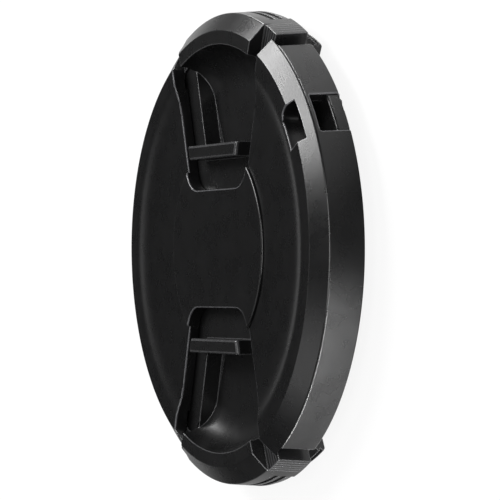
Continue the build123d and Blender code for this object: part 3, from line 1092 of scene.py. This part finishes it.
@dataclass
class PinchSlider(SubAssembly):
    """Pinch slider: guided plate, finger scoop, push tab, outer grip and threaded clip."""

    plate_inner: float = 6.0
    plate_overlap: float = 1.0
    tail_angle: float = 30.0
    tail_steps: int = 40
    rail_width: float = 3.65
    scoop_floor_thickness: float = 0.9
    scoop_wall: float = 1.0
    cove_angle: float = 84.0
    cove_steps: int = 20
    tab_inner: float = 13.7
    tab_thickness: float = 2.2
    tab_side_gap: float = 2.95
    tab_proud: float = 0.4
    tab_round: float = 0.4
    lug_thickness: float = 1.5
    slot_gap: float = 0.3
    grip_front_angle: float = 23.0
    grip_wing_angle: float = 29.4
    grip_wall: float = 1.3
    grip_round: float = 0.35
    recess_depth: float = 0.25
    recess_angle: float = 19.5
    ridge_width: float = 0.5
    groove_width: float = 0.8
    ridges: int = 2
    clip_radius: float = 34.25
    clip_reach: float = 3.1
    clip_angle: float = 28.5
    clip_root: float = 0.1
    tooth_pitch: float = 0.75
    tooth_depth: float = 0.45
    teeth: int = 2
    neck_depth: float = 0.35
    edge_round: float = 0.12
    sliver: float = 0.03
    floor_band: float = 0.01
    inside_band: float = 0.05

    @property
    def scoop_floor(self) -> float:
        """Height of the scoop's floor."""
        return self.form.floor_bottom + self.scoop_floor_thickness

    @property
    def tab_outer(self) -> float:
        """Distance from the centre to the tab's push face."""
        return self.tab_inner + self.tab_thickness

    @property
    def cove_radius(self) -> float:
        """Radius of the scoop's cove."""
        return (self.form.cap_depth - self.scoop_floor) / (1 - math.cos(math.radians(self.cove_angle)))

    @property
    def cove_centre(self) -> float:
        """Radius, about the cap's axis, at which the cove starts to rise."""
        return self.form.land_inner - self.cove_radius * math.sin(math.radians(self.cove_angle))

    @property
    def slab_bottom(self) -> float:
        """Height of the wings' underside."""
        return self.form.wall_height - self.form.clearance - self.grip_wall

    @property
    def neck_radius(self) -> float:
        """Outer radius of the clip's neck."""
        return self.clip_radius - self.tooth_depth - self.neck_depth

    def plate(self) -> Object:
        """Sliding plate with its tapering tail, slots for the springs and lugs that they push on.

        Returns:
            The solid.
        """
        form = self.form
        end = self.neck_radius
        tail = form.channel_half(form.stop_face) + self.plate_overlap
        reach = form.channel_half(end * math.cos(math.radians(self.tail_angle))) + self.plate_overlap
        edge = math.degrees(math.asin(reach / end))
        right = [(form.wing_half, self.plate_inner), (form.wing_half, form.stop_face), (tail, form.stop_face)]
        left = [(-x, y) for x, y in reversed(right)]
        outline = [*right, *arc(end, edge, -edge, self.tail_steps), *left]
        body = Bench.prism(outline, form.plate_bottom, form.plate_top)
        slot_half = form.spring_diameter / 2 + self.slot_gap
        lug_half = form.post_width / 2
        seat = form.spring_seat
        for x in (-form.spring_side, form.spring_side):
            slot = Bench.block((x - slot_half, x + slot_half), (0, seat), (-FAR, FAR))
            Bench.combine(body, [slot], Mix.CUT)
            lug_y = (seat, seat + self.lug_thickness)
            lug = Bench.block((x - lug_half, x + lug_half), lug_y, (form.floor_bottom, form.plate_top))
            peg = form.peg(x, (seat - form.peg_length, seat + self.lug_thickness))
            Bench.combine(body, [lug, peg], Mix.JOIN)
        return body

    def tub(self) -> Object:
        """Outside of the scoop, under the plate, with an end that slopes clear of the cove.

        Returns:
            The solid.
        """
        form = self.form
        half_way = math.radians(self.cove_angle / 2)
        outer = self.cove_radius + self.scoop_floor_thickness
        level = self.scoop_floor + self.cove_radius
        foot = self.cove_centre + outer * math.tan(half_way / 2)
        head = self.cove_centre + (outer - (level - form.plate_top) * math.cos(half_way)) / math.sin(half_way)
        z = (form.floor_bottom, form.plate_top)
        slope = [(0, z[0]), (foot, z[0]), (head, z[1]), (0, z[1])]
        body = form.tapered((self.tab_inner, form.rim_radius), self.rail_width - self.scoop_wall, z)
        return Bench.combine(body, [Bench.turned(slope, 0.0, SPAN)], Mix.KEEP)

    def scoop(self) -> Object:
        """Cutter of the scoop: flat floor, then a cove up to the grip's land.

        Returns:
            The cutter.
        """
        form = self.form
        floor = self.scoop_floor
        rise = []
        for step in range(self.cove_steps + 1):
            turn = math.radians(self.cove_angle * step / self.cove_steps)
            radius = self.cove_centre + self.cove_radius * math.sin(turn)
            rise.append((radius, floor + self.cove_radius * (1 - math.cos(turn))))
        section = [(0, FAR), (0, floor), *rise, (form.land_inner, FAR)]
        y = (self.tab_inner + self.tab_thickness / 2, form.rim_radius)
        body = form.tapered(y, self.rail_width, (floor - MARGIN, FAR))
        hood = Bench.block((-FAR, FAR), y, (form.plate_top, FAR - MARGIN))
        Bench.combine(body, [hood], Mix.JOIN)
        return Bench.combine(body, [Bench.turned(section, 0.0, SPAN)], Mix.KEEP)

    def tab(self) -> Object:
        """Bar that a fingertip pushes, with rounded top edges.

        Returns:
            The solid.
        """
        depth = self.form.cap_depth
        z = (self.form.floor_bottom, depth + self.tab_proud)
        body = self.form.tapered((self.tab_inner, self.tab_outer), self.tab_side_gap, z)
        Bench.break_edges(body, self.tab_round, lambda point: point.z > depth, segments=4, wear_and_highlight=0.0)
        return body

    def grip_body(self) -> Object:
        """Grip before it is hollowed: bevelled front over wider wings and a skirt.

        Returns:
            The solid.
        """
        form = self.form
        proud = form.grip_proud
        root = self.cove_centre + self.cove_radius * math.sin(math.radians(self.cove_angle / 2))
        bottom = self.slab_bottom
        wing_top = form.wall_height - form.clearance
        front = [
            (root, bottom, 0),
            (form.rim_at(bottom, proud), bottom, 0),
            (form.rim_at(form.wall_height, proud), form.wall_height, self.grip_round),
            (form.land_outer, form.cap_depth, self.grip_round),
            (root, form.cap_depth, 0),
        ]
        wings = [
            (form.clip_inner, 0),
            (form.rim_at(0, proud), 0),
            (form.rim_at(wing_top, proud), wing_top),
            (form.wing_inner, wing_top),
            (form.wing_inner, bottom),
            (form.clip_inner, bottom),
        ]
        body = Bench.turned(rounded(front), 0.0, self.grip_front_angle)
        return Bench.combine(body, [Bench.turned(wings, 0.0, self.grip_wing_angle)], Mix.JOIN)

    def grip_hollows(self) -> list[Object]:
        """Cutters of the hollows behind the grip's bevel and between its wings.

        Returns:
            Both cutters.
        """
        form = self.form
        proud = form.grip_proud
        bottom = self.slab_bottom
        neck = self.neck_radius
        skirt_inner = form.rim_at(bottom, proud) - self.grip_wall
        pocket = [
            (form.clip_inner - MARGIN, -MARGIN),
            (form.rim_at(-MARGIN, proud) - self.grip_wall, -MARGIN),
            (skirt_inner, bottom),
            (form.clip_inner - MARGIN, bottom),
        ]
        run = form.bevel_width / (form.cap_depth - form.wall_height)
        bevel_wall = self.grip_wall * math.sqrt(1 + run**2)
        top = form.cap_depth - (neck - form.land_outer + bevel_wall) / run
        shoulder = top - (skirt_inner - neck) / run
        core = [(neck, -MARGIN), (skirt_inner, -MARGIN), (skirt_inner, shoulder), (neck, top)]
        wing_wall = math.degrees(self.grip_wall / form.rim_radius)
        end_wall = math.degrees(self.grip_wall / form.land_outer)
        return [
            Bench.turned(core, 0.0, self.grip_front_angle - end_wall),
            Bench.turned(pocket, 0.0, self.grip_wing_angle - wing_wall),
        ]

    def grooves(self) -> list[Object]:
        """Cutters of the recess in the grip's wall, which leave its ridges.

        Returns:
            The cutters, from the rear edge forwards.
        """
        form = self.form
        proud = form.grip_proud
        cutters = []
        for number in range(self.ridges + 1):
            low = number * (self.ridge_width + self.groove_width)
            high = low + self.groove_width
            if number == 0:
                low = -MARGIN
            groove = [
                (form.rim_at(low, proud) - self.recess_depth, low),
                (FAR, low),
                (FAR, high),
                (form.rim_at(high, proud) - self.recess_depth, high),
            ]
            cutters.append(Bench.turned(groove, 0.0, self.recess_angle))
        return cutters

    def clip(self) -> Object:
        """Neck and toothed arc that catch in the filter thread.

        Returns:
            The solid.
        """
        root = self.clip_radius - self.tooth_depth
        inner = self.form.clip_inner
        start = -self.clip_reach
        top = self.slab_bottom + self.clip_root
        section = [(inner, top), (inner, start)]
        for number in range(self.teeth):
            foot = start + number * self.tooth_pitch
            section += [(root, foot), (self.clip_radius, foot + self.tooth_pitch / 2)]
        end = start + self.teeth * self.tooth_pitch
        section += [(root, end), (self.neck_radius, end + self.neck_depth), (self.neck_radius, top)]
        return Bench.turned(section, 0.0, self.clip_angle)

    def outside(self, point: Vector) -> bool:
        """Whether a point shows from outside."""
        in_front = point.z > self.scoop_floor - self.floor_band
        return in_front or point.xy.length > self.form.clip_inner - self.inside_band

    def in_scoop(self, point: Vector) -> bool:
        """Whether a point is in the foot of the scoop's sides."""
        low = self.scoop_floor - self.floor_band < point.z < self.form.plate_top
        return low and point.xy.length < self.form.land_inner

    def build(self) -> list[Object]:
        """Model the upper slider, copy it for the lower one and dress both.

        Returns:
            The upper and the lower slider.
        """
        upper = self.plate()
        grip = Bench.combine(self.grip_body(), [*self.grip_hollows(), *self.grooves()], Mix.CUT)
        Bench.combine(upper, [self.tub(), grip], Mix.JOIN)
        Bench.combine(upper, [self.scoop()], Mix.CUT)
        Bench.combine(upper, [self.tab(), self.clip()], Mix.JOIN)
        Bench.clean(upper, self.sliver)
        Bench.break_edges(upper, self.edge_round, self.outside, self.in_scoop)
        lower = Bench.turned_round(upper)
        pair = {"upper_slider": upper, "lower_slider": lower}
        return [self.dress(piece, name, name) for name, piece in pair.items()]


@dataclass
class BackPlate(SubAssembly):
    """Retaining plate, cut away round the clips, slotted for the hooks and ribbed under the wings."""

    support_width: float = 1.4
    support_gap: float = 0.3
    support_setback: float = 1.0
    bite_steps: int = 40
    far_steps: int = 8
    edge_round: float = 0.12
    sliver: float = 0.02

    def bite(self) -> Object:
        """Cutter of the room round the upper clip, over its travel.

        Returns:
            The cutter.
        """
        form = self.form
        reach = form.clip_inner - 2 * form.clearance
        outline = []
        for x, y in arc(1.0, -form.wall_notch_angle, form.wall_notch_angle, self.bite_steps):
            along = form.travel * y
            radius = math.sqrt(along**2 - form.travel**2 + reach**2) - along
            outline.append((radius * x, radius * y))
        outer = arc(FAR, form.wall_notch_angle, -form.wall_notch_angle, self.far_steps)
        return Bench.prism([*outline, *outer], -FAR, FAR)

    def hook_slots(self) -> list[Object]:
        """Cutters of the slots that the shell's hooks reach through.

        Returns:
            The cutters.
        """
        form = self.form
        outer = form.ledge_radius - form.hook_inset + form.back_fit
        inner = outer - form.hook_thickness - form.hook_catch - 2 * form.back_fit
        half = form.hook_width / 2 + form.back_fit
        slots = []
        for side, y in form.hook_places():
            slots.append(Bench.block((side * inner, side * outer), (y - half, y + half), (-FAR, FAR)))
        return slots

    def ribs(self) -> list[Object]:
        """Ribs that the sliders' plates run on.

        Returns:
            The ribs.
        """
        form = self.form
        inner = form.spring_side + form.post_width / 2 + self.support_gap
        end = form.stop_face - self.support_setback
        z = (form.back_top - self.edge_round, form.plate_bottom - form.clearance)
        outer = inner + self.support_width
        return [Bench.block((side * inner, side * outer), (-end, end), z) for side in (-1, 1)]

    def build(self) -> list[Object]:
        """Model and dress the plate.

        Returns:
            The plate.
        """
        form = self.form
        section = [
            (0, form.back_recess, 0),
            (form.back_radius, form.back_recess, self.edge_round),
            (form.back_radius, form.back_top, self.edge_round),
            (0, form.back_top, 0),
        ]
        body = Bench.turned(rounded(section))
        bite = self.bite()
        Bench.combine(body, [Bench.turned_round(bite), bite, *self.hook_slots()], Mix.CUT)
        Bench.combine(body, self.ribs(), Mix.JOIN)
        Bench.clean(body, self.sliver)
        Bench.break_edges(body, self.edge_round, lambda point: True, segments=2)
        return [self.dress(body, "back_plate", "shell")]


@dataclass
class CoilSprings(SubAssembly):
    """Four compression springs, each between a fixed post and a slider's lug."""

    wire: float = 0.4
    turns: int = 6
    seat_gap: float = 0.05
    around: int = 24
    wire_sides: int = 10

    def coil(self, side: int, end: int) -> Object:
        """Model one spring.

        Args:
            side: its sign along X.
            end: its sign along Y.

        Returns:
            The spring, in millimetres.
        """
        form = self.form
        radius = (form.spring_diameter - self.wire) / 2
        wire = self.wire / 2
        start = form.post_thickness / 2 + self.seat_gap
        length = form.spring_seat - self.seat_gap - start
        points = []
        for step in range(self.wire_sides):
            angle = math.tau * step / self.wire_sides
            points.append(Vector((radius + wire * math.cos(angle), 0, wire * math.sin(angle))))
        body = Bench.loop(points, filled=False)
        winding = body.modifiers.new("winding", "SCREW")
        winding.axis = "Z"
        winding.steps = self.around
        winding.render_steps = self.around
        winding.iterations = self.turns
        winding.screw_offset = (length - self.wire) / self.turns
        winding.use_merge_vertices = False
        Bench.apply(body, winding)
        with Bench.editing(body):
            bpy.ops.mesh.fill_holes(sides=0)
            Bench.face_outwards()
        body.rotation_euler.x = -end * math.pi / 2
        body.location = (side * form.spring_side, end * (start + wire), form.spring_level)
        Bench.pick(body)
        bpy.ops.object.transform_apply(location=True, rotation=True, scale=False)
        return body

    def build(self) -> list[Object]:
        """Model and dress the springs.

        Returns:
            The springs.
        """
        springs = []
        for side, hand in ((-1, "left"), (1, "right")):
            for end, level in ((1, "upper"), (-1, "lower")):
                coil = self.dress(self.coil(side, end), f"{level}_{hand}_spring", "shell")
                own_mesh(coil)
                springs.append(coil)
        return springs


@dataclass(frozen=True)
class Softbox:
    """Softbox or lit card that faces the cap.

    Args:
        name: the lamp's name.
        towards: direction from the cap to the lamp.
        distance: metres from the cap.
        width: metres across.
        height: metres up.
        glow: brightness of its cloth, where 1 is white.
    """

    name: str
    towards: Direction
    distance: float
    width: float
    height: float
    glow: float

    def place(self) -> None:
        """Add the lamp to the scene."""
        data = bpy.data.lights.new(self.name, "AREA")
        data.shape = "RECTANGLE"
        data.size = self.width
        data.size_y = self.height
        data.energy = self.glow * math.pi * self.width * self.height
        lamp = bpy.data.objects.new(self.name, data)
        direction = Vector(self.towards).normalized()
        lamp.location = direction * self.distance
        lamp.rotation_euler = direction.to_track_quat("Z", "Y").to_euler()
        bpy.context.collection.objects.link(lamp)


@dataclass(frozen=True)
class Studio:
    """White floor, dark tent, softboxes and the camera, in metres.

    The rim's wall mirrors the floor beside the cap, so for reflections the floor is graded along Y.
    Its tones are listed from -card_reach to card_reach, at shares of that way.
    """

    floor_height: float = -0.0031
    floor_radius: float = 3.0
    floor_sides: int = 96
    floor_tone: float = 0.9
    tent_radius: float = 2.5
    tent_glow: float = 0.02
    shadow_share: float = 0.1
    card_reach: float = 0.05
    card_tones: tuple[Point, ...] = (
        (0, 0.35),
        (0.09, 0.35),
        (0.16, 1),
        (0.31, 1),
        (0.45, 0.02),
        (0.64, 0.02),
        (0.86, 1),
        (1, 0.7),
    )
    eye: Direction = (0.38197, -0.00493, 0.1830)
    roll: float = -0.41
    focal_length: float = 199.8
    sensor: float = 36.0
    frame_shift: Point = (-0.0153, -0.0030)
    softboxes: tuple[Softbox, ...] = (
        Softbox("key_low", (-0.53, 0.61, 0.59), 0.7, 0.22, 0.22, 17.0),
        Softbox("key_mid", (-0.32, 0.53, 0.78), 0.7, 0.24, 0.24, 12.0),
        Softbox("key_high", (-0.11, 0.46, 0.88), 0.7, 0.22, 0.22, 13.0),
        Softbox("upper_card", (-0.045, 0.999, 0.0037), 0.11, 0.13, 0.007, 30.0),
        Softbox("lower_card", (0.555, -0.832, 0.0037), 0.108, 0.17, 0.007, 54.0),
        Softbox("lower_fill", (-0.10, -0.46, 0.88), 0.7, 0.3, 0.3, 1.6),
        Softbox("back_strip", (-0.985, 0.0, 0.08), 0.7, 0.45, 0.1, 0.45),
        Softbox("back_fill", (-0.56, 0.0, 0.83), 0.7, 0.3, 0.2, 1.4),
        Softbox("front_fill", (0.72, 0.0, 0.69), 0.7, 0.6, 0.25, 6.0),
    )

    def seen(self, tree: Tree) -> Socket:
        """Mask of the rays that show the background.

        Args:
            tree: node tree of the background's material.

        Returns:
            1 for camera, glossy and transmission rays, and 0 for others.
        """
        path = tree.nodes.new("ShaderNodeLightPath")
        mask = path.outputs["Is Camera Ray"]
        for ray in ("Is Glossy Ray", "Is Transmission Ray"):
            either = tree.nodes.new("ShaderNodeMath")
            either.operation = "MAXIMUM"
            tree.links.new(mask, either.inputs[0])
            tree.links.new(path.outputs[ray], either.inputs[1])
            mask = either.outputs[0]
        return mask

    def card(self, tree: Tree) -> Socket:
        """Brightness of the floor: white for the camera, graded for what mirrors it.

        Args:
            tree: node tree of the floor's material.

        Returns:
            The brightness.
        """
        place = tree.nodes.new("ShaderNodeTexCoord")
        across = tree.nodes.new("ShaderNodeSeparateXYZ")
        tree.links.new(place.outputs["Object"], across.inputs[0])
        reach = tree.nodes.new("ShaderNodeMapRange")
        reach.inputs["From Min"].default_value = -self.card_reach
        reach.inputs["From Max"].default_value = self.card_reach
        tree.links.new(across.outputs["Y"], reach.inputs["Value"])
        grey = tree.nodes.new("ShaderNodeValToRGB")
        stops = grey.color_ramp.elements
        for share, _ in self.card_tones[1:-1]:
            stops.new(share)
        for stop, (_, tone) in zip(stops, self.card_tones):
            stop.color = (tone, tone, tone, 1)
        tree.links.new(reach.outputs[0], grey.inputs[0])
        path = tree.nodes.new("ShaderNodeLightPath")
        blend = tree.nodes.new("ShaderNodeMix")
        blend.inputs["A"].default_value = 1
        tree.links.new(path.outputs["Is Glossy Ray"], blend.inputs["Factor"])
        tree.links.new(grey.outputs["Color"], blend.inputs["B"])
        return blend.outputs["Result"]

    def floor_paint(self) -> bpy.types.Material:
        """White paint that keeps a faint shadow, and is clear from below.

        Returns:
            The material.
        """
        material = bpy.data.materials.new("floor_white")
        material.use_nodes = True
        tree = material.node_tree
        tree.nodes.clear()
        matte = tree.nodes.new("ShaderNodeBsdfDiffuse")
        matte.inputs["Color"].default_value = (self.floor_tone, self.floor_tone, self.floor_tone, 1)
        glow = tree.nodes.new("ShaderNodeEmission")
        tree.links.new(self.card(tree), glow.inputs["Strength"])
        share = tree.nodes.new("ShaderNodeMath")
        share.operation = "MULTIPLY"
        share.inputs[1].default_value = 1 - self.shadow_share
        tree.links.new(self.seen(tree), share.inputs[0])
        white = tree.nodes.new("ShaderNodeMixShader")
        tree.links.new(share.outputs[0], white.inputs["Fac"])
        tree.links.new(matte.outputs[0], white.inputs[1])
        tree.links.new(glow.outputs[0], white.inputs[2])
        side = tree.nodes.new("ShaderNodeNewGeometry")
        clear = tree.nodes.new("ShaderNodeBsdfTransparent")
        both = tree.nodes.new("ShaderNodeMixShader")
        tree.links.new(side.outputs["Backfacing"], both.inputs["Fac"])
        tree.links.new(white.outputs[0], both.inputs[1])
        tree.links.new(clear.outputs[0], both.inputs[2])
        output = tree.nodes.new("ShaderNodeOutputMaterial")
        tree.links.new(both.outputs[0], output.inputs["Surface"])
        return material

    def floor(self) -> Object:
        """Floor that the cap lies on.

        Returns:
            The floor.
        """
        bpy.ops.object.select_all(action="DESELECT")
        bpy.ops.mesh.primitive_circle_add(
            vertices=self.floor_sides, radius=self.floor_radius, fill_type="NGON"
        )
        floor = bpy.context.object
        floor.name = "floor"
        floor.location.z = self.floor_height
        floor.data.materials.append(self.floor_paint())
        return floor

    def tent(self) -> Object:
        """Dark tent round the set, which the camera looks through.

        Returns:
            The tent.
        """
        bpy.ops.object.select_all(action="DESELECT")
        bpy.ops.mesh.primitive_uv_sphere_add(segments=48, ring_count=24, radius=self.tent_radius)
        tent = bpy.context.object
        tent.name = "tent"
        tent.visible_camera = False
        material = bpy.data.materials.new("tent_cloth")
        material.use_nodes = True
        tree = material.node_tree
        tree.nodes.clear()
        glow = tree.nodes.new("ShaderNodeEmission")
        glow.inputs["Strength"].default_value = self.tent_glow
        output = tree.nodes.new("ShaderNodeOutputMaterial")
        tree.links.new(glow.outputs[0], output.inputs["Surface"])
        tent.data.materials.append(material)
        return tent

    def world(self) -> None:
        """White beyond the tent."""
        world = bpy.data.worlds.new("white")
        world.use_nodes = True
        tree = world.node_tree
        background = tree.nodes["Background"]
        background.inputs["Color"].default_value = (1, 1, 1, 1)
        tree.links.new(self.seen(tree), background.inputs["Strength"])
        bpy.context.scene.world = world

    def camera(self) -> None:
        """Camera at the photograph's viewing angle, with the cap's +Y up in the picture."""
        data = bpy.data.cameras.new("camera")
        data.lens = self.focal_length
        data.sensor_width = self.sensor
        data.shift_x, data.shift_y = self.frame_shift
        camera = bpy.data.objects.new("camera", data)
        back = Vector(self.eye).normalized()
        right = Vector((0, 1, 0)).cross(back).normalized()
        up = back.cross(right)
        turn = math.radians(self.roll)
        tilted_right = right * math.cos(turn) + up * math.sin(turn)
        tilted_up = up * math.cos(turn) - right * math.sin(turn)
        axes = Matrix((tilted_right, tilted_up, back)).transposed()
        camera.matrix_world = Matrix.Translation(self.eye) @ axes.to_4x4()
        bpy.context.collection.objects.link(camera)
        bpy.context.scene.camera = camera

    def build(self) -> None:
        """Set the whole studio up."""
        self.floor()
        self.tent()
        for softbox in self.softboxes:
            softbox.place()
        self.world()
        self.camera()
        bpy.context.scene.view_settings.view_transform = "Standard"


def main() -> None:
    """Build the cap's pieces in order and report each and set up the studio."""
    logging.basicConfig(level=logging.INFO, format="%(message)s")
    form = CapForm()
    shell = MouldedPlastic(
        "shell_satin", "shell_plastic", (0.0038, 0.0038, 0.0040), 0.28, grained_from=GRAINED_FROM
    )
    slider = MouldedPlastic(
        "slider_satin",
        "slider_plastic",
        (0.0060, 0.0060, 0.0062),
        0.28,
        grained_from=GRAINED_FROM,
        # The sliders' edges get a weaker painted highlight than the shell's.
        painted_highlight_tone=9.0,
    )
    back = MouldedPlastic("back_matte", "back_plastic", (0.0070, 0.0070, 0.0072), 0.4, grain_depth=0.00003)
    steel = SpringWire("spring_bright", "spring_steel", (0.55, 0.55, 0.56), (0.36, 0.34, 0.32), 0.3)
    parts = (
        FrontShell(form, shell),
        PinchSlider(form, slider),
        BackPlate(form, back),
        CoilSprings(form, steel),
    )
    for part in parts:
        for piece in part.build():
            log.info("%s: %d faces", piece.name, len(piece.data.polygons))
    Studio().build()


if __name__ == "__main__":
    main()
